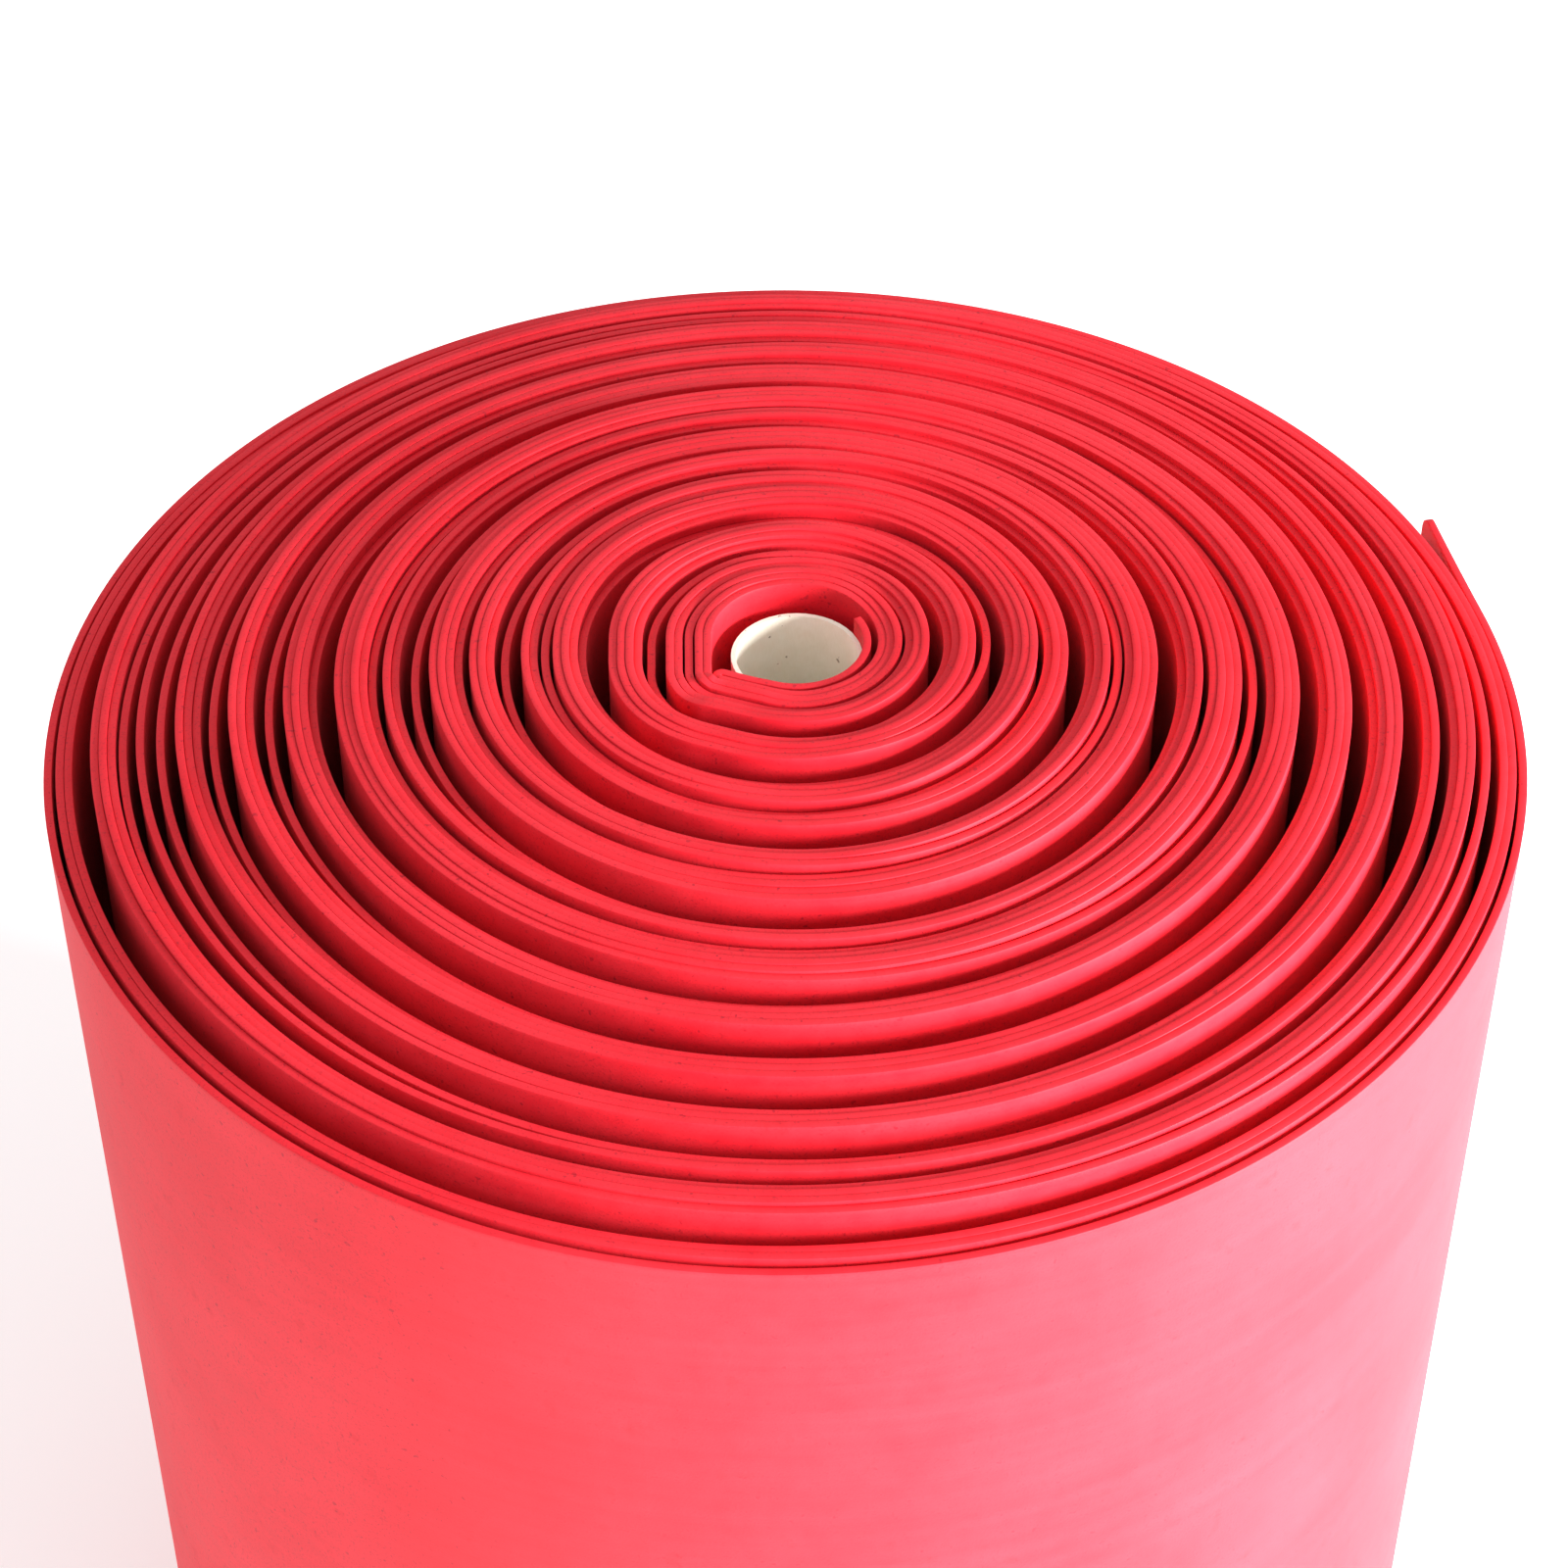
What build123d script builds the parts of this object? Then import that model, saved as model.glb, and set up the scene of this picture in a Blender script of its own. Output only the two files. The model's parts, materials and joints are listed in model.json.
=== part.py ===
from build123d import *

import math
import os

# A foam backdrop sheet wound on a paperboard core, standing on one end.
# Origin: the core's axis where it meets the floor. +Z runs up the core, +Y is the far side.
# Lengths are in millimetres and angles in degrees, counter-clockwise seen from above.
# The wound sheet is one plain ring for each band of turns that has slid up by the same amount.

# Driving dimensions
SHEET_WIDTH = 1000.0  # the sheet's width, which is the height of every turn
SHEET_THICKNESS = 5.0
TURN_SPACING = 7.5  # average over the wound turns, with the loose gaps between groups of them
CORE_BORE = 76.2
CORE_WALL = 3.0
CORE_LENGTH = 1046.0  # stands on the floor and ends below the innermost turns' edges
CROWN = 60.0  # how far the innermost turns have slid up past the outermost
DRIFT = 8.0  # how far the outermost turn's centre lies to the left of the core

# The start of the sheet: a lead round the core, folded back on itself once
LEAD_SWEEP = 140.0
LEAD_AIR = 0.1
FOLD_ANGLE = 250.0  # where the lead leaves the core
FOLD_LEG = 32.0
FOLD_BEND = 3.2  # the hairpin's radius at mid thickness

# Whole turns in each band, from the core outwards
BAND_TURNS = (3, 7, 9, 7, 6, 6, 4, 5, 4, 3)
BAND_AIR = 0.3

# The loose end: panels that lie on the roll, then flaps that stand off it
TAIL_FROM = 276.2  # the angle of the first crease
PANEL_SWEEP = 32.0
PANELS = 3
FLAP_SWEEP = 6.42
FLAP_TURNS_OUT = (3.2, 6.4)  # each flap's turn away from the roll at rest
CREASE_SLIT = 1.0
TAIL_AIR = 2.0  # air between the roll and the panels that lie on it
TAIL_LIFT = 1.0  # the loose end hangs this far above the floor

# Worked out from the above
CORE_RADIUS = CORE_BORE / 2 + CORE_WALL
LEAD_RADIUS = CORE_RADIUS + LEAD_AIR + SHEET_THICKNESS / 2
HAIRPIN_RADIUS = FOLD_BEND + SHEET_THICKNESS / 2
EYE_RADIUS = CORE_RADIUS + LEAD_AIR + 2 * FOLD_BEND + SHEET_THICKNESS
ROLL_RADIUS = EYE_RADIUS + TURN_SPACING * sum(BAND_TURNS)


def direction(angle):
    """The unit vector at an angle in plan."""
    return Vector(math.cos(math.radians(angle)), math.sin(math.radians(angle)))


OUT_OF_FOLD = direction(FOLD_ANGLE)
ALONG_FOLD = direction(FOLD_ANGLE - 90)
FOLD_CENTRE = OUT_OF_FOLD * (LEAD_RADIUS + FOLD_BEND) + ALONG_FOLD * FOLD_LEG


def drifted(radius):
    """The centre of the turns of a radius, which drifts to the left from the core outwards."""
    return Pos(-DRIFT * radius / ROLL_RADIUS, 0, 0)


def risen(radius):
    """How far the turns of a radius have slid up."""
    return round(CROWN * (1 - (radius / ROLL_RADIUS) ** 2))


def core_tube():
    """The paperboard tube."""
    ring = Circle(CORE_RADIUS) - Circle(CORE_BORE / 2)
    return extrude(ring, CORE_LENGTH)


def lead_fold():
    """The start of the sheet: round the core, out to the hairpin and back over itself."""
    lead = CenterArc((0, 0), LEAD_RADIUS, FOLD_ANGLE, LEAD_SWEEP)
    leaves = OUT_OF_FOLD * LEAD_RADIUS
    turns_in = leaves + ALONG_FOLD * FOLD_LEG
    tip = turns_in + (OUT_OF_FOLD + ALONG_FOLD) * FOLD_BEND
    turns_out = turns_in + OUT_OF_FOLD * 2 * FOLD_BEND
    comes_back = turns_out - ALONG_FOLD * FOLD_LEG
    legs = [Line(leaves, turns_in), ThreePointArc(turns_in, tip, turns_out), Line(turns_out, comes_back)]
    outline = trace(Wire([lead, *legs]), SHEET_THICKNESS)
    return Pos(0, 0, risen(0)) * extrude(outline, SHEET_WIDTH)


def eye():
    """The opening in the innermost band, which clears the core and the fold beside it."""
    round_core = CenterArc((0, 0), EYE_RADIUS + BAND_AIR, 0, 360)
    round_fold = CenterArc(FOLD_CENTRE, HAIRPIN_RADIUS + BAND_AIR, 0, 360)
    return make_hull([round_core, round_fold])


def wound_bands():
    """The wound turns, one ring for each band."""
    made = {}
    inner = EYE_RADIUS
    inside = eye()
    for number, turns in enumerate(BAND_TURNS, start=1):
        outer = inner + TURN_SPACING * turns
        rise = 0 if number == len(BAND_TURNS) else risen((inner + outer) / 2)
        ring = drifted(outer) * Circle(outer - BAND_AIR) - inside
        made[f"turns_{number:02d}"] = Pos(0, 0, rise) * extrude(ring, SHEET_WIDTH)
        inside = drifted(outer) * Circle(outer)
        inner = outer
    return made


def panel(start, end):
    """A length of the outermost turn, which lies on the roll between two angles."""
    near = ROLL_RADIUS + TAIL_AIR
    slit = math.degrees(CREASE_SLIT / 2 / near)
    arc = CenterArc((0, 0), near + SHEET_THICKNESS / 2, start + slit, end - start - 2 * slit)
    outline = drifted(ROLL_RADIUS) * trace(arc, SHEET_THICKNESS)
    return Pos(0, 0, TAIL_LIFT) * extrude(outline, SHEET_WIDTH)


def swung(shape, creases):
    """A shape of the loose end, turned out about each crease before it, the nearest first."""
    for hinge, angle in reversed(creases):
        shape = shape.rotate(Axis(hinge, (0, 0, 1)), -angle)
    return shape


def loose_end():
    """The loose end's panels and flaps as they rest, and the crease that each turns about."""
    sweeps = (PANEL_SWEEP,) * PANELS + (FLAP_SWEEP,) * len(FLAP_TURNS_OUT)
    turns_out = (0.0,) * PANELS + FLAP_TURNS_OUT
    made = {}
    resting = []
    creases = []
    start = TAIL_FROM
    for number, (sweep, turn_out) in enumerate(zip(sweeps, turns_out), start=1):
        outer_face = direction(start) * (ROLL_RADIUS + TAIL_AIR + SHEET_THICKNESS)
        hinge = outer_face + drifted(ROLL_RADIUS).position
        resting.append(swung(Vertex(*hinge), creases).center())
        creases.append((hinge, turn_out))
        made[f"tail_{number}"] = swung(panel(start, start + sweep), creases)
        start += sweep
    return made, resting


def main():
    """Builds every piece and writes one file for each."""
    tail, creases = loose_end()
    parts = {"core_tube": core_tube(), "lead_fold": lead_fold(), **wound_bands(), **tail}
    os.makedirs("parts", exist_ok=True)
    for name, solid in parts.items():
        export_step(solid, f"parts/{name}.step")
    for number, crease in enumerate(creases, start=1):
        print(f"crease {number} at x {crease.X:.4f}, y {crease.Y:.4f}")


main()
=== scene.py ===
"""A roll of foam backdrop sheet on a paperboard core, standing on end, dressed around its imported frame."""

import json
import logging
import math
from collections.abc import Callable, Iterable, Sequence
from dataclasses import dataclass, field, replace
from enum import Enum

import bmesh
import bpy
from mathutils import Matrix, Vector, noise

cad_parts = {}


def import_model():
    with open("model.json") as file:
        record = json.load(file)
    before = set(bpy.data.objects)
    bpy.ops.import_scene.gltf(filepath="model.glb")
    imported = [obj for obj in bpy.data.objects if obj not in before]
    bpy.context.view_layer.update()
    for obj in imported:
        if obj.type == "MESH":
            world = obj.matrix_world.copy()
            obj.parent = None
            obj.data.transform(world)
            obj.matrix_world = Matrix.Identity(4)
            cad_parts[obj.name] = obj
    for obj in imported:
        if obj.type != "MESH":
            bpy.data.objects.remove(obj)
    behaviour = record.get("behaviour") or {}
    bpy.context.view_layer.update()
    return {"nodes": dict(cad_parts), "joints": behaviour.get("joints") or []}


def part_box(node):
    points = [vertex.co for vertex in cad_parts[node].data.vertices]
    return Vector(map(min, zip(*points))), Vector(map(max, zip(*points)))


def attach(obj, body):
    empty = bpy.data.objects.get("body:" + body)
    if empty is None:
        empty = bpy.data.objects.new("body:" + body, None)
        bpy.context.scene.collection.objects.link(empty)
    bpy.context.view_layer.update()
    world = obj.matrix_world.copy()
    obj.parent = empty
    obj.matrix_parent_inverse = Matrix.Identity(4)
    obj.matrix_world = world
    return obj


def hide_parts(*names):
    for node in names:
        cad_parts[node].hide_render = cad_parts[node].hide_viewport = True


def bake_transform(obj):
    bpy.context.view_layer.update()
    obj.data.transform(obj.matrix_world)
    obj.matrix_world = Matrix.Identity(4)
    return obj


LOG = logging.getLogger("backdrop_roll")
MILLIMETRE = 0.001
FULL_TURN = 360.0
SHEET_THICKNESS = 5.0 * MILLIMETRE
BAND_TURNS = (3, 7, 9, 7, 6, 6, 4, 5, 4, 3)
LEAD_SWEEP = 140.0
WOUND_SHORT_OF_CREASE = 16.0
CREASE_COUNT = 5
RISE_TURNS = 0.85
LEAD_STEPS = 60
LEG_STEPS = 9
FOLD_STEPS = 12
FLAP_STEPS = 16
WELD_DISTANCE = 0.01 * MILLIMETRE
SHARP_ANGLE = 50
MIX_FACTOR, MIX_FIRST, MIX_SECOND, MIX_RESULT = 0, 6, 7, 2


class Slot(Enum):
    """The record's material slots."""

    FOAM = "foam_sheet"
    BOARD = "core_board"


# ---------------------------------------------------------------- shader expressions


class Signal:
    """One number in a material that varies over the surface, which ordinary arithmetic works on."""

    def __init__(self, shop: "Shop", socket: bpy.types.NodeSocket) -> None:
        """Wraps the output that carries the number, in the shop that makes its nodes."""
        self.shop = shop
        self.socket = socket

    def _with(self, operation: str, *others: "Signal | float") -> "Signal":
        """Runs a Math node over this number and others, in order."""
        return self.shop.maths(operation, self, *others)

    def __add__(self, other: "Signal | float") -> "Signal":
        """The sum."""
        return self._with("ADD", other)

    __radd__ = __add__

    def __mul__(self, other: "Signal | float") -> "Signal":
        """The product."""
        return self._with("MULTIPLY", other)

    __rmul__ = __mul__

    def __sub__(self, other: "Signal | float") -> "Signal":
        """The difference."""
        return self._with("SUBTRACT", other)

    def __rsub__(self, other: float) -> "Signal":
        """A number minus this one."""
        return self.shop.maths("SUBTRACT", other, self)

    def clamped(self) -> "Signal":
        """This number kept from 0 to 1."""
        return self._with("MAXIMUM", 0.0)._with("MINIMUM", 1.0)


class Shop:
    """Makes the nodes of one material."""

    def __init__(self, name: str) -> None:
        """Starts an empty material with its shader and output.

        Args:
            name: The material's name.
        """
        self.material = bpy.data.materials.new(name)
        self.material.use_nodes = True
        self.tree = self.material.node_tree
        self.tree.nodes.clear()
        self.shader = self.tree.nodes.new("ShaderNodeBsdfPrincipled")
        output = self.tree.nodes.new("ShaderNodeOutputMaterial")
        self.tree.links.new(self.shader.outputs["BSDF"], output.inputs["Surface"])

    def node(self, kind: str, settings: dict | None = None, inputs: dict | None = None) -> bpy.types.Node:
        """Makes one node.

        Args:
            kind: The node's type.
            settings: Its own settings, set first.
            inputs: Socket names or numbers, each with a value, a Signal or an output to link.

        Returns:
            The node.
        """
        made = self.tree.nodes.new(kind)
        for name, value in (settings or {}).items():
            setattr(made, name, value)
        for name, value in (inputs or {}).items():
            self.feed(made.inputs[name], value)
        return made

    def feed(self, socket: bpy.types.NodeSocket, value: object) -> None:
        """Sets a socket to a value, or links it to a Signal or an output.

        Args:
            socket: The input to fill.
            value: A plain value, a Signal or an output.
        """
        if isinstance(value, Signal):
            value = value.socket
        if isinstance(value, bpy.types.NodeSocket):
            self.tree.links.new(value, socket)
        else:
            socket.default_value = value

    def maths(self, operation: str, *values: "Signal | float") -> Signal:
        """Makes a Math node over values and gives its result."""
        made = self.node("ShaderNodeMath", {"operation": operation}, dict(enumerate(values)))
        return Signal(self, made.outputs[0])

    def place(self) -> bpy.types.NodeSocket:
        """The piece's own Object coordinates."""
        return self.node("ShaderNodeTexCoord").outputs["Object"]

    def sheet_place(self, stretch: tuple[float, float, float]) -> bpy.types.NodeSocket:
        """The place on the sheet's own map, scaled along the sheet, up it and through it."""
        mapped = self.node("ShaderNodeUVMap", {"uv_map": "sheet"}).outputs["UV"]
        return self.node("ShaderNodeMapping", None, {"Vector": mapped, "Scale": stretch}).outputs["Vector"]

    def cloud(self, place: bpy.types.NodeSocket, scale: float, detail: float = 3.0) -> Signal:
        """Soft noise from 0 to 1, with a scale in blobs to the metre and a detail in finer layers."""
        made = self.node("ShaderNodeTexNoise", None, {"Vector": place, "Scale": scale, "Detail": detail})
        return Signal(self, made.outputs["Fac"])

    def spread(self, value: Signal, low: float, high: float) -> Signal:
        """Stretches the part of a number from low to high over 0 to 1, clamped."""
        return ((value - low) * (1.0 / (high - low))).clamped()

    def blend(self, factor: Signal, first: object, second: object) -> bpy.types.NodeSocket:
        """Mixes two colours by a number.

        Args:
            factor: 0 for the first colour, 1 for the second.
            first: A colour, or an output that carries one.
            second: A colour, or an output that carries one.

        Returns:
            The mixed colour.
        """
        made = self.node("ShaderNodeMix", {"data_type": "RGBA"})
        self.feed(made.inputs[MIX_FACTOR], factor)
        self.feed(made.inputs[MIX_FIRST], first)
        self.feed(made.inputs[MIX_SECOND], second)
        return made.outputs[MIX_RESULT]

    def bump(self, height: Signal, strength: float, distance: float) -> None:
        """Raises the surface by a number.

        Args:
            height: The height, from 0 to 1.
            strength: The share of the effect.
            distance: The height of a whole step, in metres.
        """
        inputs = {"Height": height, "Strength": strength, "Distance": distance}
        made = self.node("ShaderNodeBump", None, inputs)
        self.feed(self.shader.inputs["Normal"], made.outputs["Normal"])


@dataclass(frozen=True)
class FoamFinish:
    """Matt closed-cell foam: fine open pores, faint draw lines along the sheet and a soft bloom."""

    base: tuple[float, float, float, float] = (0.64, 0.007, 0.018, 1.0)
    pale: tuple[float, float, float, float] = (0.72, 0.020, 0.034, 1.0)
    deep: tuple[float, float, float, float] = (0.50, 0.002, 0.008, 1.0)
    pore: tuple[float, float, float, float] = (0.30, 0.004, 0.015, 1.0)
    bloom: tuple[float, float, float, float] = (1.0, 0.42, 0.46, 1.0)
    broad_per_metre: float = 7.0
    mottle_per_metre: float = 60.0
    specks_per_metre: float = 240.0
    pores_per_metre: float = 620.0
    draw_lines: tuple[float, float, float] = (2.5, 90.0, 1.0)
    specular: float = 0.24
    sheen: float = 0.05
    sheen_roughness: float = 0.45
    relief: float = 0.35 * MILLIMETRE

    def make(self) -> bpy.types.Material:
        """Builds the material.

        Returns:
            The material.
        """
        shop = Shop("red_foam")
        place = shop.place()
        broad = shop.cloud(place, self.broad_per_metre, 4.0)
        mottle = shop.cloud(place, self.mottle_per_metre, 4.0)
        drawn = shop.cloud(shop.sheet_place(self.draw_lines), 1.0, 5.0)
        grain = shop.cloud(place, self.pores_per_metre, 2.0)
        specks = shop.spread(shop.cloud(place, self.specks_per_metre, 1.0), 0.71, 0.76)
        tone = shop.spread(broad * 0.45 + mottle * 0.25 + drawn * 0.30, 0.38, 0.62)
        colour = shop.blend(tone, self.base, self.pale)
        colour = shop.blend(shop.spread(mottle, 0.60, 0.80) * 0.5, colour, self.deep)
        colour = shop.blend(shop.spread(grain, 0.56, 0.72) * 0.45 + specks * 0.6, colour, self.pore)
        shop.feed(shop.shader.inputs["Base Color"], colour)
        shop.feed(shop.shader.inputs["Roughness"], 0.50 + 0.10 * mottle + 0.08 * drawn)
        shop.shader.inputs["Specular IOR Level"].default_value = self.specular
        shop.shader.inputs["Sheen Weight"].default_value = self.sheen
        shop.shader.inputs["Sheen Roughness"].default_value = self.sheen_roughness
        shop.shader.inputs["Sheen Tint"].default_value = self.bloom
        shop.bump(grain * 0.6 + drawn * 0.4, 0.35, self.relief)
        return shop.material


@dataclass(frozen=True)
class BoardFinish:
    """Pale grey-buff paperboard: fibres, flecks and the wound plies' spiral seam."""

    light: tuple[float, float, float, float] = (0.95, 0.92, 0.80, 1.0)
    dark: tuple[float, float, float, float] = (0.88, 0.84, 0.70, 1.0)
    fleck: tuple[float, float, float, float] = (0.20, 0.15, 0.09, 1.0)
    ply_rise: float = 0.055
    seam_width: float = 0.02
    fibres_per_metre: float = 900.0
    fibre_stretch: tuple[float, float, float] = (1.0, 1.0, 0.25)
    mottle_per_metre: float = 70.0
    flecks_per_metre: float = 170.0
    specular: float = 0.3
    relief: float = 0.3 * MILLIMETRE

    def make(self) -> bpy.types.Material:
        """Builds the material.

        Returns:
            The material.
        """
        shop = Shop(Slot.BOARD.value)
        place = shop.place()
        stretched = shop.node("ShaderNodeMapping", None, {"Vector": place, "Scale": self.fibre_stretch})
        fibres = shop.cloud(stretched.outputs["Vector"], self.fibres_per_metre, 4.0)
        mottle = shop.cloud(place, self.mottle_per_metre, 5.0)
        flecks = shop.spread(shop.cloud(place, self.flecks_per_metre, 2.0), 0.70, 0.74)
        split = shop.node("ShaderNodeSeparateXYZ", None, {"Vector": place})
        across, away, up = (Signal(shop, output) for output in split.outputs)
        angle = shop.maths("ARCTAN2", away, across) * (1.0 / math.tau)
        ply = shop.maths("FRACT", angle + up * (1.0 / self.ply_rise))
        seam = 1.0 - shop.spread(shop.maths("ABSOLUTE", ply - 0.5), 0.0, self.seam_width)
        tone = shop.spread(mottle * 0.6 + fibres * 0.4, 0.36, 0.64)
        colour = shop.blend(tone, self.dark, self.light)
        colour = shop.blend(seam * 0.35, colour, self.dark)
        colour = shop.blend(flecks * 0.8, colour, self.fleck)
        shop.feed(shop.shader.inputs["Base Color"], colour)
        shop.feed(shop.shader.inputs["Roughness"], 0.78 + 0.12 * fibres)
        shop.shader.inputs["Specular IOR Level"].default_value = self.specular
        shop.bump(fibres * 0.5 + mottle * 0.3 - seam * 0.4, 0.5, self.relief)
        return shop.material


@dataclass(frozen=True)
class FloorFinish:
    """A plain, nearly white floor with the faintest mottle."""

    light: tuple[float, float, float, float] = (0.93, 0.93, 0.93, 1.0)
    shade: tuple[float, float, float, float] = (0.89, 0.89, 0.90, 1.0)
    blobs_per_metre: float = 1.5
    roughness: float = 0.85
    glow: float = 0.22

    def make(self) -> bpy.types.Material:
        """Builds the material.

        Returns:
            The material.
        """
        shop = Shop("pale_floor")
        colour = shop.blend(shop.cloud(shop.place(), self.blobs_per_metre), self.light, self.shade)
        shop.feed(shop.shader.inputs["Base Color"], colour)
        shop.shader.inputs["Roughness"].default_value = self.roughness
        shop.shader.inputs["Emission Color"].default_value = self.light
        shop.shader.inputs["Emission Strength"].default_value = self.glow
        return shop.material


# ---------------------------------------------------------------- the sheet's course in plan


def heading(angle: float) -> Vector:
    """The unit vector at an angle in plan."""
    return Vector((math.cos(math.radians(angle)), math.sin(math.radians(angle)), 0.0))


def facing_of(place: Vector) -> float:
    """The angle of a place in plan, counted on past a whole turn from the front left."""
    angle = math.degrees(math.atan2(place.y, place.x))
    return angle if angle > 180.0 else angle + FULL_TURN


def eased(share: float) -> float:
    """A share from 0 to 1 with a soft start and end, clamped."""
    kept = min(1.0, max(0.0, share))
    return kept * kept * (3.0 - 2.0 * kept)


@dataclass(frozen=True)
class Station:
    """One place along the sheet: its middle in plan, the way its outer face looks and its length so far."""

    middle: Vector
    outwards: Vector
    run: float = 0.0
    turn: float = 0.0


def measured(places: Iterable[tuple[Vector, Vector]]) -> list[Station]:
    """Measures places along the sheet into stations.

    Args:
        places: Pairs of the sheet's middle and the way that its outer face looks, in order.

    Returns:
        The stations, each with its length from the first.
    """
    made: list[Station] = []
    for middle, outwards in places:
        run = made[-1].run + (middle - made[-1].middle).length if made else 0.0
        made.append(Station(middle, outwards, run))
    return made


@dataclass(frozen=True)
class Group:
    """Some neighbouring turns that lie close together, and the loose gap that follows them.

    turns is how many there are. sunk is how far the first stands below the group's crest and crest how high
    that is above the roll's crown line, in millimetres. gap is the loose gap's width, in about millimetres,
    faces the angle where it is widest, and span the number of turns over which the sheet crosses it.
    """

    turns: int
    sunk: float
    crest: float
    gap: float
    faces: float
    span: float

    def height(self, into: float) -> float:
        """How high the sheet stands above the crown line, some turns into the group, in millimetres."""
        return self.crest - self.sunk * math.exp(-max(0.0, into) / RISE_TURNS)


GROUPS = (
    Group(3, 3.0, 4.0, 2.0, 20.0, 0.9),
    Group(3, 5.0, 5.5, 9.0, 335.0, 0.6),
    Group(4, 12.0, 7.5, 13.5, 205.0, 0.6),
    Group(5, 15.0, 8.0, 4.0, 0.0, 0.7),
    Group(3, 6.0, 7.0, 11.0, 340.0, 0.6),
    Group(3, 14.0, 8.5, 4.0, 160.0, 0.6),
    Group(5, 7.0, 8.0, 13.0, 10.0, 0.6),
    Group(3, 15.0, 7.5, 4.0, 300.0, 0.5),
    Group(4, 8.0, 9.0, 11.0, 180.0, 0.6),
    Group(5, 15.0, 8.5, 13.0, 5.0, 0.6),
    Group(4, 16.0, 9.5, 12.0, 350.0, 0.6),
    Group(4, 15.0, 9.0, 14.0, 10.0, 0.7),
    Group(2, 10.0, 6.5, 7.0, 330.0, 0.5),
    Group(3, 9.0, 9.5, 12.0, 180.0, 0.6),
    Group(3, 8.0, 3.0, 0.0, 0.0, 1.0),
)


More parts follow.
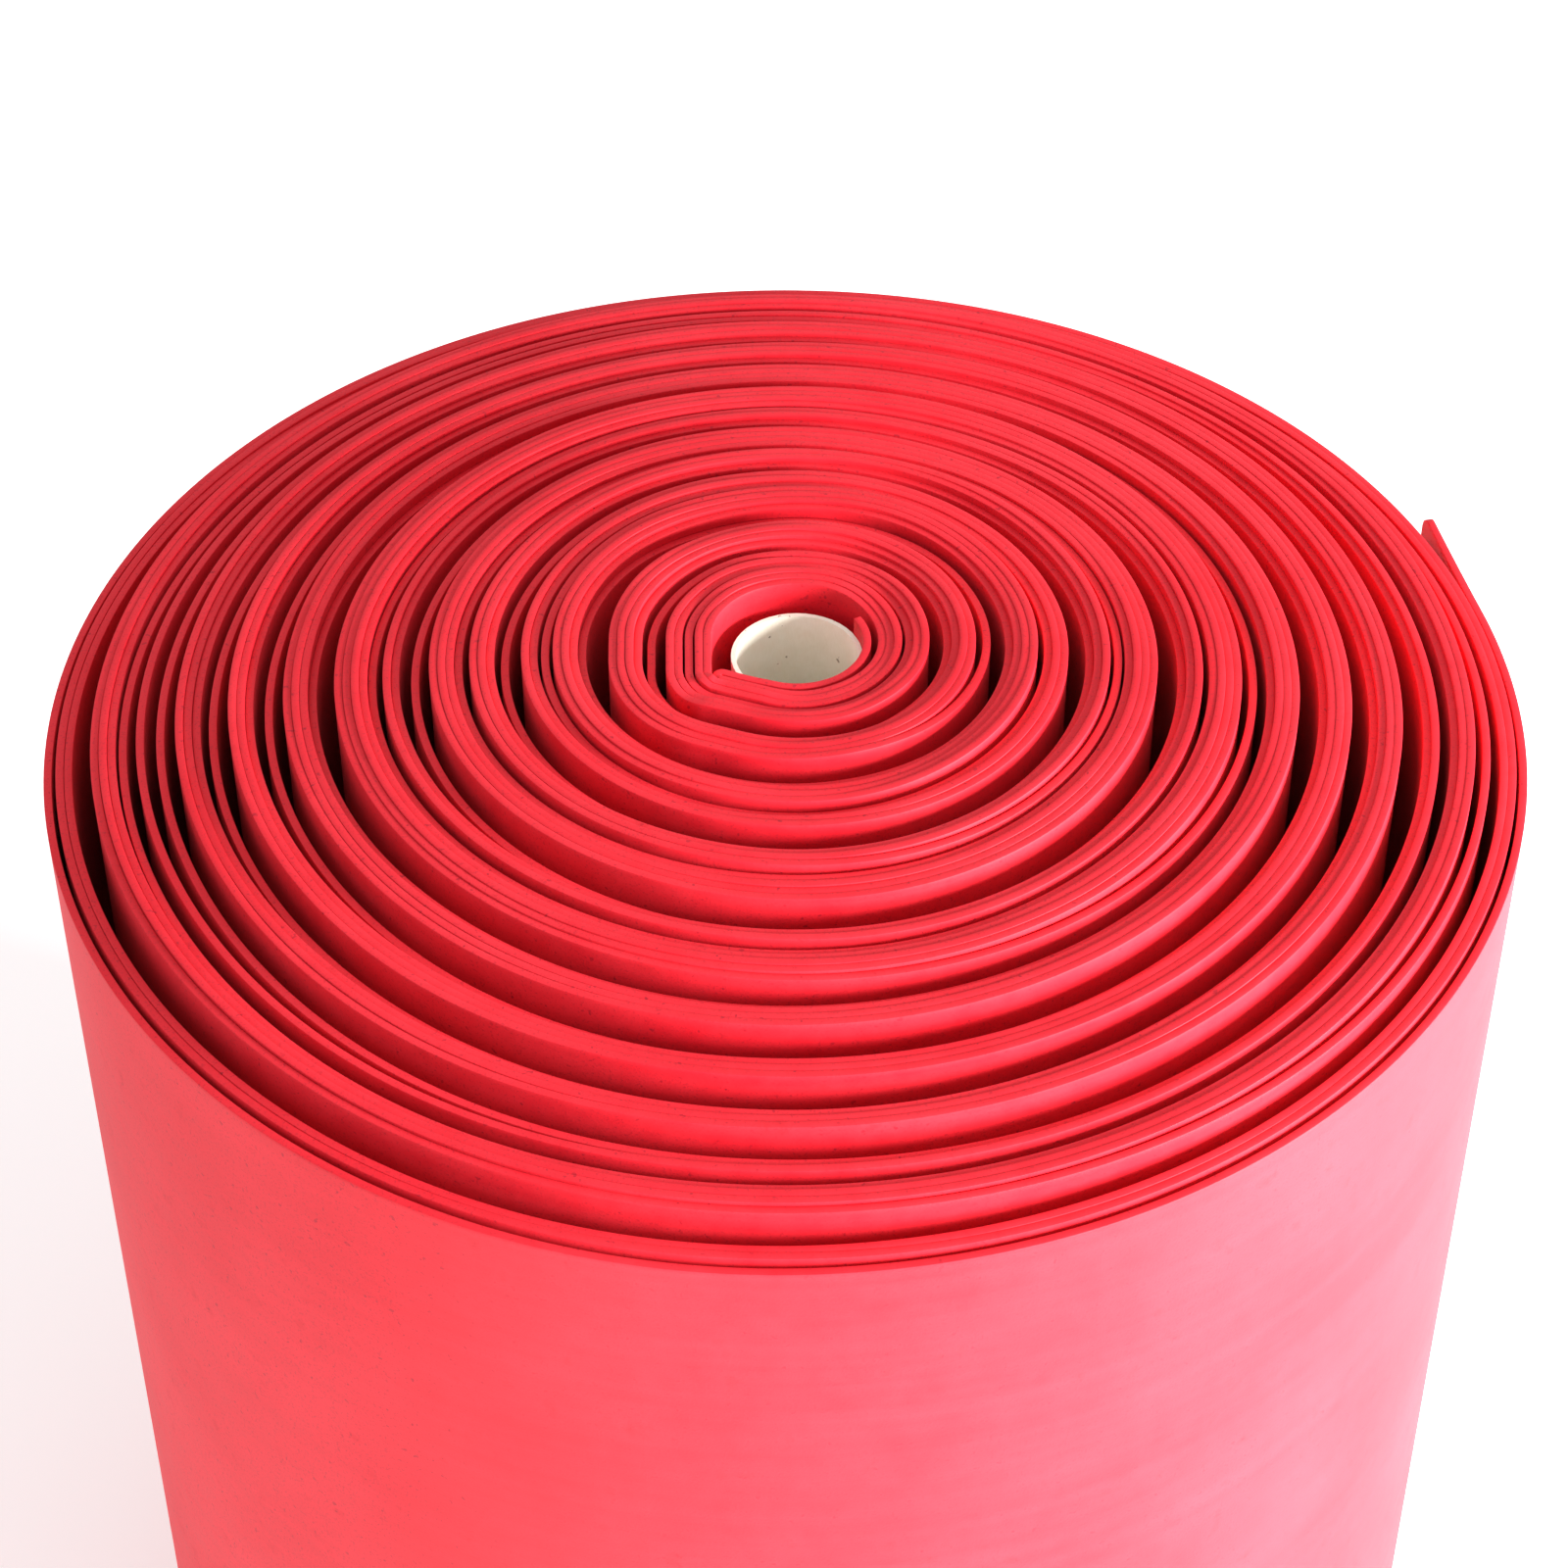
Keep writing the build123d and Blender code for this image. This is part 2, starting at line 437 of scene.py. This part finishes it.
@dataclass
class Winding:
    """Where every part of the wound sheet lies, from the fold beside the core to the loose end.

    Lengths are in metres, but for crown_wobble and turn_step, which are in millimetres. Facings are in
    degrees. wave_turns is the number of turns over which the sway in plan grows to its whole width.
    wave_scales and wobble_scales say how fast that sway and the upper edge's wobble change round the roll
    and then from turn to turn, and step_scales says the same of each turn's own step, from turn to turn
    first. least_step is the shortest step along the sheet, as a share of its thickness. chords gives the
    finest and the longest step along a bend in millimetres, and the radius that adds a millimetre to the
    finest.
    under_air lies under the outermost turn: it starts under_air_start turns before the web's end, and it
    comes in over under_air_turns.
    """

    core_radius: float
    outer_middle: float
    drift: float
    crown: float
    width: float
    thickness: float
    last_facing: float
    fold_facing: float = 250.0
    fold_leg: float = 0.032
    fold_bend: float = 3.2 * MILLIMETRE
    first_air: float = 1.4 * MILLIMETRE
    close_air: float = 0.12 * MILLIMETRE
    under_air: float = 3.2 * MILLIMETRE
    wave: float = 1.1 * MILLIMETRE
    round_after: float = 28.0 * MILLIMETRE
    core_air: float = 0.1 * MILLIMETRE
    fold_bow: float = 0.6 * MILLIMETRE
    under_air_start: float = 0.55
    under_air_turns: float = 0.5
    wave_turns: float = 4.0
    wave_scales: tuple[float, float] = (1.1, 0.04)
    crown_wobble: float = 2.2
    wobble_scales: tuple[float, float] = (1.3, 0.31)
    turn_step: float = 1.2
    step_scales: tuple[float, float] = (1.7, 0.002)
    least_step: float = 0.2
    chords: tuple[float, float, float] = (3.0, 9.0, 70.0)
    fold_centre: Vector = field(init=False)
    fold_bearing: float = field(init=False)
    fold_spread: float = field(init=False)
    lead_radius: float = field(init=False)
    web_radius: float = field(init=False)
    last_turn: float = field(init=False)
    breaks: list[tuple[float, float, Group]] = field(init=False)

    def __post_init__(self) -> None:
        """Works out the fold, the turns and the gaps between their groups."""
        out, along = heading(self.fold_facing), heading(self.fold_facing - FULL_TURN / 4)
        self.lead_radius = self.core_radius + self.core_air + self.thickness / 2
        self.web_radius = self.lead_radius + 2 * self.fold_bend
        self.fold_centre = out * (self.lead_radius + self.fold_bend) + along * self.fold_leg
        self.fold_bearing = math.degrees(math.atan2(self.fold_centre.y, self.fold_centre.x)) % FULL_TURN
        wheels = self.web_radius - self.fold_bend
        self.fold_spread = math.degrees(math.acos(wheels / self.fold_centre.length))
        whole = sum(group.turns for group in GROUPS)
        self.last_turn = whole + (self.last_facing - self.fold_facing) / FULL_TURN
        close = self.web_radius + self.first_air + (self.thickness + self.close_air) * self.last_turn
        spare = (self.outer_middle - close - self.under_air) / sum(group.gap for group in GROUPS)
        self.breaks = []
        count = 0
        for group in GROUPS:
            count += group.turns
            at = count - 0.5 + (group.faces - self.fold_facing) / FULL_TURN % 1.0
            self.breaks.append((at, spare * group.gap, group))

    def crossed(self, turn: float, at: float, span: float) -> float:
        """How far across a gap, 0 to 1, the web is by a turn, if it crosses in span turns round at."""
        return eased((turn - at) / span + 0.5)

    def offset(self, turn: float) -> float:
        """How far out from the core's round the web has come.

        Args:
            turn: How many turns it has made.

        Returns:
            The distance in metres.
        """
        close = self.first_air + (self.thickness + self.close_air) * turn
        begun = turn - self.last_turn + self.under_air_start
        close += self.under_air * eased(begun / self.under_air_turns)
        return close + self.loose(turn)

    def loose(self, turn: float) -> float:
        """The width of all the gaps that the web has crossed by a turn."""
        return sum(width * self.crossed(turn, at, group.span) for at, width, group in self.breaks)

    def lifted(self, turn: float, radius: float, facing: float) -> float:
        """The height of the sheet's upper edge.

        Args:
            turn: How many turns the web has made.
            radius: Its distance from the core's axis.
            facing: The angle that it faces.

        Returns:
            The height in metres.
        """
        line = self.width + self.crown * (1.0 - (radius / self.outer_middle) ** 2)
        start = 0.0
        slid = GROUPS[0].height(turn)
        for (at, _, group), following in zip(self.breaks, GROUPS[1:]):
            if turn < at - group.span / 2:
                break
            slid = group.height(turn - start)
            slid += (following.height(turn - at) - slid) * self.crossed(turn, at, group.span)
            start = at
        settle = eased(self.last_turn - turn)
        round_scale, turn_scale = self.wobble_scales
        around = heading(facing) * round_scale
        wobble = noise.noise(Vector((around.x, around.y, turn * turn_scale))) * self.crown_wobble
        turn_scale, round_scale = self.step_scales
        own = noise.noise(Vector((turn * turn_scale, 5.0, facing * round_scale))) * self.turn_step
        return max(line + (slid + wobble + own) * settle * MILLIMETRE, self.width)

    def station(self, facing: float, on_fold: float) -> Station:
        """One place on the wound web.

        Args:
            facing: The total angle that the web has turned through.
            on_fold: 0 where it bears on the core, 1 where it bears on the fold, between where it spans them.

        Returns:
            The place, with its length not yet measured.
        """
        turn = (facing - self.fold_facing) / FULL_TURN
        out = heading(facing)
        grown = self.offset(turn)
        settled = min(1.0, turn / self.wave_turns)
        on_fold *= max(0.0, 1.0 - self.loose(turn) / self.round_after)
        round_scale, turn_scale = self.wave_scales
        spot = Vector((out.x * round_scale, out.y * round_scale, turn * turn_scale))
        sway = noise.noise(spot) * self.wave * settled
        radius = (1.0 - on_fold) * self.web_radius + on_fold * self.fold_bend
        share = (self.outer_middle - self.web_radius - grown) / (self.outer_middle - self.web_radius)
        centre = self.fold_centre * on_fold + Vector((-self.drift * (1.0 - max(0.0, share)), 0.0, 0.0))
        edge_free = eased(self.last_turn - turn)
        return Station(centre + out * (radius + grown + sway * edge_free), out, turn=turn)

    def course(self, first_turn: float, last_turn: float) -> list[Station]:
        """The stations of the web between two turns.

        Args:
            first_turn: Where it starts.
            last_turn: Where it ends.

        Returns:
            The stations in order.
        """
        start = self.fold_facing + FULL_TURN * first_turn
        end = self.fold_facing + FULL_TURN * last_turn
        marks: list[tuple[float, float]] = []
        for turn in range(math.floor(first_turn) - 1, math.floor(last_turn) + 2):
            onto = self.fold_bearing - self.fold_spread + FULL_TURN * turn
            off = self.fold_bearing + self.fold_spread + FULL_TURN * turn
            marks += self.bent(off, onto + FULL_TURN, 0.0) + self.spanned(onto + FULL_TURN, 0.0)
            marks += self.bent(onto + FULL_TURN, off + FULL_TURN, 1.0) + self.spanned(off + FULL_TURN, 1.0)
        inner = [mark for mark in marks if start < mark[0] < end]
        stations = [self.station(start, self.bearing(start))]
        for facing, on_fold in [*inner, (end, self.bearing(end))]:
            made = self.station(facing, on_fold)
            step = (made.middle - stations[-1].middle).length
            if step >= self.thickness * self.least_step:
                stations.append(replace(made, run=stations[-1].run + step))
        return stations

    def bearing(self, facing: float) -> float:
        """1 where the web, facing that way, bears on the fold, and 0 where it bears on the core."""
        off = (facing - self.fold_bearing + FULL_TURN / 2) % FULL_TURN - FULL_TURN / 2
        return 1.0 if abs(off) < self.fold_spread else 0.0

    def bent(self, start: float, end: float, on_fold: float) -> list[tuple[float, float]]:
        """Evenly spaced marks where the web bends round one wheel, closer together on small turns.

        Args:
            start: The facing where it comes onto the wheel.
            end: The facing where it leaves.
            on_fold: 1 on the fold, 0 on the core.

        Returns:
            Pairs of the facing and on_fold.
        """
        finest, longest, growth = self.chords
        middle = ((start + end) / 2 - self.fold_facing) / FULL_TURN
        radius = self.web_radius + self.offset(max(0.0, middle))
        chord = min(longest, finest + radius / MILLIMETRE / growth) * MILLIMETRE
        count = max(8, round(math.radians(end - start) * radius / chord))
        return [(start + (end - start) * step / count, on_fold) for step in range(count + 1)]

    def spanned(self, facing: float, leaving: float) -> list[tuple[float, float]]:
        """Marks along a straight span that leaves the core, 0, or the fold, 1, for the other wheel."""
        shares = (0.25, 0.5, 0.75)
        return [(facing, abs(leaving - share)) for share in shares]

    def lead(self, sweep: float) -> list[Station]:
        """The start of the sheet: round the core, out to the hairpin and back to the web.

        Args:
            sweep: The angle that the lead goes round the core.

        Returns:
            The stations in order.
        """
        out, along = heading(self.fold_facing), heading(self.fold_facing - FULL_TURN / 4)
        middles: list[tuple[Vector, Vector]] = []
        for step in range(LEAD_STEPS + 1):
            facing = self.fold_facing + sweep * (1.0 - step / LEAD_STEPS)
            middles.append((heading(facing) * self.lead_radius, heading(facing) * -1.0))
        leaves = out * self.lead_radius
        for step in range(1, LEG_STEPS):
            bow = math.sin(math.pi * step / LEG_STEPS) * self.fold_bow
            middles.append((leaves + along * (self.fold_leg * step / LEG_STEPS) + out * bow, -out))
        for step in range(FOLD_STEPS + 1):
            outwards = heading(self.fold_facing - FULL_TURN / 2 * (1.0 - step / FOLD_STEPS))
            middles.append((self.fold_centre + outwards * self.fold_bend, outwards))
        returns = self.fold_centre + out * self.fold_bend
        meets = self.station(self.fold_facing, 0.0).middle
        for step in range(1, LEG_STEPS + 1):
            middles.append((returns.lerp(meets, step / LEG_STEPS), out))
        return measured(middles)


# ---------------------------------------------------------------- meshes


@dataclass(frozen=True)
class Ribbon:
    """The sheet's cross-section: its thickness, and how its cut edges are rounded.

    round_off is how far the rounding reaches down the face. chamfer_share and top_share say where the
    corner's two upper places lie, as shares of it. hold is how far the faces' inner rows lie from each edge.
    """

    thickness: float
    round_off: float = 0.45 * MILLIMETRE
    chamfer_share: float = 0.29
    top_share: float = 1.2
    hold: float = 3.0 * MILLIMETRE

    def outline(self, bottom: float, top: float) -> list[tuple[float, float]]:
        """The closed loop round the section, from its outer lower corner up and back down inside.

        Args:
            bottom: The height of the lower edge.
            top: The height of the upper edge.

        Returns:
            Pairs of the distance outwards from the middle and the height.
        """
        half, soft = self.thickness / 2, self.round_off
        chamfer = soft * self.chamfer_share
        face = [(half, bottom), (half, bottom + self.hold), (half, top - self.hold), (half, top - soft)]
        corner = [(half - chamfer, top - chamfer), (half - soft * self.top_share, top)]
        outer = face + corner
        return outer + [(-across, height) for across, height in reversed(outer)]


def ribbon_mesh(
    name: str,
    stations: Sequence[Station],
    ribbon: Ribbon,
    edges: Callable[[Station], tuple[float, float]],
    run_from: float = 0.0,
) -> bpy.types.Object:
    """Sweeps the sheet's section along its stations.

    Args:
        name: The piece's name.
        stations: The places along the sheet.
        ribbon: The section.
        edges: Gives the heights of the lower and upper edge at a place.
        run_from: The sheet's length before this piece, for its map.

    Returns:
        The piece, with its map called sheet.
    """
    outlines = [ribbon.outline(*edges(station)) for station in stations]
    across = len(outlines[0])
    along = len(stations) - 1
    work = bmesh.new()
    bmesh.ops.create_grid(work, x_segments=along, y_segments=across, size=1.0)
    runs: dict[bmesh.types.BMVert, float] = {}
    for vertex in work.verts:
        at = round((vertex.co.x + 1.0) / 2.0 * along)
        step = round((vertex.co.y + 1.0) / 2.0 * across) % across
        outwards, height = outlines[at][step]
        place = stations[at].middle + stations[at].outwards * outwards
        vertex.co = Vector((place.x, place.y, height))
        runs[vertex] = run_from + stations[at].run
    chart = work.loops.layers.uv.new("sheet")
    for face in work.faces:
        for loop in face.loops:
            loop[chart].uv = (runs[loop.vert], loop.vert.co.z)
    bmesh.ops.remove_doubles(work, verts=work.verts[:], dist=WELD_DISTANCE)
    bmesh.ops.holes_fill(work, edges=[edge for edge in work.edges if edge.is_boundary], sides=0)
    bmesh.ops.recalc_face_normals(work, faces=work.faces[:])
    for face in work.faces:
        face.smooth = True
    mesh = bpy.data.meshes.new(name)
    work.to_mesh(mesh)
    work.free()
    mesh.set_sharp_from_angle(angle=math.radians(SHARP_ANGLE))
    piece = bpy.data.objects.new(name, mesh)
    bpy.context.scene.collection.objects.link(piece)
    return piece


def dress(piece: bpy.types.Object, material: bpy.types.Material) -> None:
    """Gives a piece its material."""
    piece.data.materials.append(material)


# ---------------------------------------------------------------- the roll's sub-assemblies


@dataclass
class CoreTube:
    """The paperboard tube that the sheet is wound on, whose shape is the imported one."""

    tube: bpy.types.Object
    finish: BoardFinish = BoardFinish()

    def build(self) -> bpy.types.Object:
        """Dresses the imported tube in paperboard.

        Returns:
            The tube.
        """
        material = self.finish.make()
        for slot in self.tube.material_slots:
            slot.material = material
        return self.tube


@dataclass
class WoundSheet:
    """The wound part of the sheet: the folded lead, then every turn up to the loose end."""

    winding: Winding
    ribbon: Ribbon
    foam: bpy.types.Material
    lead_drop: float = 1.5 * MILLIMETRE
    lead_ripple: float = 0.8 * MILLIMETRE

    def lead(self) -> tuple[bpy.types.Object, float]:
        """Builds the folded lead.

        Returns:
            The piece and the sheet's length in it.
        """
        stations = self.winding.lead(LEAD_SWEEP)
        last = stations[-1].run
        piece = ribbon_mesh("folded_lead", stations, self.ribbon, self.lead_edges)
        dress(piece, self.foam)
        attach(piece, "roll")
        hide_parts("lead_fold")
        return piece, last

    def lead_edges(self, station: Station) -> tuple[float, float]:
        """The heights of the lead's edges.

        Args:
            station: The place.

        Returns:
            The heights of the lower and upper edge.
        """
        winding = self.winding
        top = winding.lifted(0.0, winding.web_radius, winding.fold_facing) - self.lead_drop
        top += noise.noise(Vector((station.run * 9.0, 2.0, 1.0))) * self.lead_ripple
        return top - self.winding.width, top

    def web_edges(self, station: Station) -> tuple[float, float]:
        """The heights of the wound web's edges.

        Args:
            station: The place.

        Returns:
            The heights of the lower and upper edge.
        """
        facing = self.winding.fold_facing + FULL_TURN * station.turn
        radius = self.winding.web_radius + self.winding.offset(station.turn)
        top = self.winding.lifted(station.turn, radius, facing)
        return top - self.winding.width, top

    def turns(self, run: float) -> tuple[list[bpy.types.Object], float]:
        """Builds the wound turns, a piece for each packed band.

        Args:
            run: The sheet's length before the first turn.

        Returns:
            The pieces and the sheet's length up to their end.
        """
        pieces: list[bpy.types.Object] = []
        start = 0.0
        last = self.winding.last_turn
        for number, count in enumerate(BAND_TURNS, start=1):
            end = start + count if number < len(BAND_TURNS) else last
            stations = self.winding.course(start, end)
            length = stations[-1].run
            piece = ribbon_mesh(f"turns_{number:02d}_web", stations, self.ribbon, self.web_edges, run)
            dress(piece, self.foam)
            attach(piece, "roll")
            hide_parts(f"turns_{number:02d}")
            pieces.append(piece)
            run += length
            start = end
        return pieces, run


@dataclass
class LooseEnd:
    """The sheet's outer end: it lies on the roll, then stands off it nearly straight to a cut end."""

    winding: Winding
    ribbon: Ribbon
    foam: bpy.types.Material
    creases: list[Vector]
    lift: float
    facings: list[float]
    corner: float = 9.0 * MILLIMETRE
    bend_reach: tuple[float, ...] = (0.040, 0.040, 0.040, 0.022, 0.022)
    bend_before: float = 5.0 * MILLIMETRE
    arc_step: float = 8.0 * MILLIMETRE
    flap_bow: float = 1.5 * MILLIMETRE
    edge_ripple: float = 0.8 * MILLIMETRE
    settle_run: float = 0.25
    corner_shares: tuple[float, ...] = (0.7, 0.5, 0.3, 0.15, 0.05)
    leaves: float = field(init=False)
    flap_split: float = field(init=False)
    flap_length: float = field(init=False)

    def __post_init__(self) -> None:
        """Works out where the sheet leaves the roll and how long its flap is."""
        self.leaves = self.facings[3]
        flap = (self.creases[4] - self.creases[3]).length
        self.flap_split, self.flap_length = flap / 2, flap * 2

    def on_roll(self, facing: float) -> Vector:
        """The middle of the sheet where it lies on the roll."""
        return Vector((-self.winding.drift, 0.0, 0.0)) + heading(facing) * self.winding.outer_middle

    def arc(self, start: float, end: float) -> list[tuple[Vector, Vector]]:
        """Places along the part that lies on the roll.

        Args:
            start: The facing where they begin.
            end: The facing where they end.

        Returns:
            Pairs of the sheet's middle and the way that its outer face looks.
        """
        count = max(4, round(math.radians(end - start) * self.winding.outer_middle / self.arc_step))
        facings = [start + (end - start) * step / count for step in range(count + 1)]
        return [(self.on_roll(facing), heading(facing)) for facing in facings]

    def flap(self, start: float, end: float) -> list[tuple[Vector, Vector]]:
        """Places along the part that stands off the roll, measured from where it leaves.

        Args:
            start: The distance where they begin.
            end: The distance where they end.

        Returns:
            Pairs of the sheet's middle and the way that its outer face looks.
        """
        along, out = heading(self.leaves + FULL_TURN / 4), heading(self.leaves)
        foot = self.on_roll(self.leaves)
        reaches = [start + (end - start) * step / FLAP_STEPS for step in range(FLAP_STEPS + 1)]
        if end >= self.flap_length:
            reaches += [end - self.corner * share for share in self.corner_shares]
            reaches.sort()
        return [(foot + along * reach + out * self.curl(reach), out) for reach in reaches]

    def curl(self, reach: float) -> float:
        """How far the flap bows out from a straight line, in metres."""
        return self.flap_bow * (reach / self.flap_length) ** 2

    def edges(self, run_before: float, length: float) -> Callable[[Station], tuple[float, float]]:
        """Gives the rule for the heights of the loose end's edges.

        Args:
            run_before: The loose end's length before the piece.
            length: The loose end's whole length.

        Returns:
            The rule.
        """

        def rule(station: Station) -> tuple[float, float]:
            """The heights at a place, with the cut end's rounded corners.

            Args:
                station: The place.

            Returns:
                The heights of the lower and upper edge.
            """
            winding = self.winding
            run = run_before + station.run
            settle = eased(run / self.settle_run)
            start = winding.lifted(winding.last_turn, winding.outer_middle, winding.last_facing)
            top = start * (1.0 - settle) + (winding.width + self.lift) * settle
            top += noise.noise(Vector((run * 4.0, 7.0, 3.0))) * self.edge_ripple * settle
            bottom = top - winding.width
            left = max(0.0, length - run)
            if left < self.corner:
                cut = self.corner - math.sqrt(max(0.0, self.corner**2 - (self.corner - left) ** 2))
                top, bottom = top - cut, bottom + cut
            return bottom, top

        return rule

    def build(self, run: float) -> list[bpy.types.Object]:
        """Builds the loose end's pieces, one for each crease.

        Args:
            run: The sheet's length before the loose end.

        Returns:
            The pieces.
        """
        seams = [(one + other) / 2 for one, other in zip(self.facings[:3], self.facings[1:4])]
        courses = [self.arc(start, end) for start, end in zip([self.winding.last_facing, *seams], seams)]
        courses.append(self.arc(seams[-1], self.leaves)[:-1] + self.flap(0.0, self.flap_split))
        courses.append(self.flap(self.flap_split, self.flap_length))
        swept = [measured(course) for course in courses]
        whole = sum(stations[-1].run for stations in swept)
        pieces: list[bpy.types.Object] = []
        before = 0.0
        rows = zip(swept, self.creases, self.bend_reach)
        for number, (stations, crease, reach) in enumerate(rows, start=1):
            length = stations[-1].run
            rule = self.edges(before, whole)
            piece = ribbon_mesh(f"loose_end_{number}", stations, self.ribbon, rule, run + before)
            dress(piece, self.foam)
            nearest = min(stations, key=lambda station: (station.middle - crease).length)
            along = Vector((-nearest.outwards.y, nearest.outwards.x, 0.0))
            bends, straight = crease - along * self.bend_before, crease + along * reach
            held_by = "roll" if number == 1 else f"tail_{number - 1}"
            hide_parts(f"tail_{number}")
            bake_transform(piece)
            pieces.append(piece)
            before += length
        return pieces


# ---------------------------------------------------------------- the studio


@dataclass
class Softbox:
    """One square area light."""

    name: str
    place: tuple[float, float, float]
    aim: tuple[float, float, float]
    side: float
    watts: float

    def build(self) -> None:
        """Hangs the light and turns it to its aim."""
        lamp = bpy.data.lights.new(self.name, "AREA")
        lamp.shape = "SQUARE"
        lamp.size = self.side
        lamp.energy = self.watts
        holder = bpy.data.objects.new(self.name, lamp)
        turned = (Vector(self.aim) - Vector(self.place)).to_track_quat("-Z", "Y")
        holder.matrix_world = Matrix.Translation(self.place) @ turned.to_matrix().to_4x4()
        bpy.context.scene.collection.objects.link(holder)


@dataclass
class Studio:
    """The pale floor, the even surroundings, the light and the camera.

    reach is the roll's radius, and camera_away and camera_above are multiples of it. aim_share is the share
    of the roll's height that the light is aimed at.
    """

    middle: Vector
    reach: float
    top: float
    camera_away: float = 3.891
    camera_above: float = 3.394
    camera_down: float = 42.2
    focal_length: float = 87.2
    sensor: float = 36.0
    sight: float = 200.0
    sky: float = 0.88
    floor_size: float = 40.0
    floor_parts: int = 8
    key_place: tuple[float, float, float] = (3.9, -2.1, 1.55)
    key_side: float = 1.9
    key_watts: float = 1100.0
    aim_share: float = 0.8

    def floor(self) -> None:
        """Lays the floor."""
        work = bmesh.new()
        parts = self.floor_parts
        bmesh.ops.create_grid(work, x_segments=parts, y_segments=parts, size=self.floor_size)
        mesh = bpy.data.meshes.new("floor")
        work.to_mesh(mesh)
        work.free()
        mesh.materials.append(FloorFinish().make())
        laid = bpy.data.objects.new("floor", mesh)
        bpy.context.scene.collection.objects.link(laid)

    def surroundings(self) -> None:
        """Sets the even light that comes from everywhere."""
        world = bpy.data.worlds.new("studio_air")
        world.use_nodes = True
        back = next(node for node in world.node_tree.nodes if node.type == "BACKGROUND")
        back.inputs["Color"].default_value = (1.0, 1.0, 1.0, 1.0)
        back.inputs["Strength"].default_value = self.sky
        bpy.context.scene.world = world

    def light(self) -> None:
        """Hangs the softbox."""
        aim = (self.middle.x, self.middle.y, self.top * self.aim_share)
        Softbox("key", self.key_place, aim, self.key_side, self.key_watts).build()

    def camera(self) -> None:
        """Sets the camera before the roll, above it and looking down."""
        lens = bpy.data.cameras.new("camera")
        lens.sensor_width = self.sensor
        lens.lens = self.focal_length
        lens.clip_end = self.sight
        holder = bpy.data.objects.new("camera", lens)
        away = self.middle.y - self.camera_away * self.reach
        place = Vector((self.middle.x, away, self.top + self.camera_above * self.reach))
        tilt = Matrix.Rotation(math.radians(90.0 - self.camera_down), 4, "X")
        holder.matrix_world = Matrix.Translation(place) @ tilt
        bpy.context.scene.collection.objects.link(holder)
        bpy.context.scene.camera = holder

    def build(self) -> None:
        """Sets up the whole studio."""
        self.camera()
        self.floor()
        self.surroundings()
        self.light()
        bpy.context.scene.view_settings.view_transform = "Standard"


def main() -> None:
    """Builds the roll around its frame."""
    logging.basicConfig(level=logging.INFO, format="%(name)s: %(message)s")
    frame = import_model()
    core_low, core_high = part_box("core_tube")
    _, first_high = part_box("turns_01")
    last_low, last_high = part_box("turns_10")
    tail_low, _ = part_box("tail_1")
    joints = {joint["name"]: joint for joint in frame["joints"]}
    hinges = [joints[f"crease_{number}"]["pos_m"] for number in range(1, CREASE_COUNT + 1)]
    creases = [Vector((*hinge[:2], 0.0)) for hinge in hinges]
    drift = -(last_low[0] + last_high[0]) / 2
    middle = Vector((-drift, 0.0, 0.0))
    outer_face = (creases[0] - middle).length
    facings = [facing_of(crease - middle) for crease in creases]
    Studio(middle, outer_face, last_high[2]).build()
    winding = Winding(
        core_radius=(core_high[0] - core_low[0]) / 2,
        outer_middle=outer_face - SHEET_THICKNESS / 2,
        drift=drift,
        crown=first_high[2] - last_high[2],
        width=last_high[2] - last_low[2],
        thickness=SHEET_THICKNESS,
        last_facing=facings[0] - WOUND_SHORT_OF_CREASE,
    )
    foam = FoamFinish().make()
    ribbon = Ribbon(SHEET_THICKNESS)
    tube = CoreTube(frame["nodes"]["core_tube"]).build()
    LOG.info("%s: paperboard tube", tube.name)
    wound = WoundSheet(winding, ribbon, foam)
    piece, run = wound.lead()
    LOG.info("%s: %.2f m of sheet", piece.name, run)
    pieces, run = wound.turns(run)
    for piece in pieces:
        LOG.info("%s: %d faces", piece.name, len(piece.data.polygons))
    LOG.info("wound sheet: %.2f m", run)
    for piece in LooseEnd(winding, ribbon, foam, creases, tail_low[2], facings).build(run):
        LOG.info("%s: %d faces", piece.name, len(piece.data.polygons))


if __name__ == "__main__":
    main()
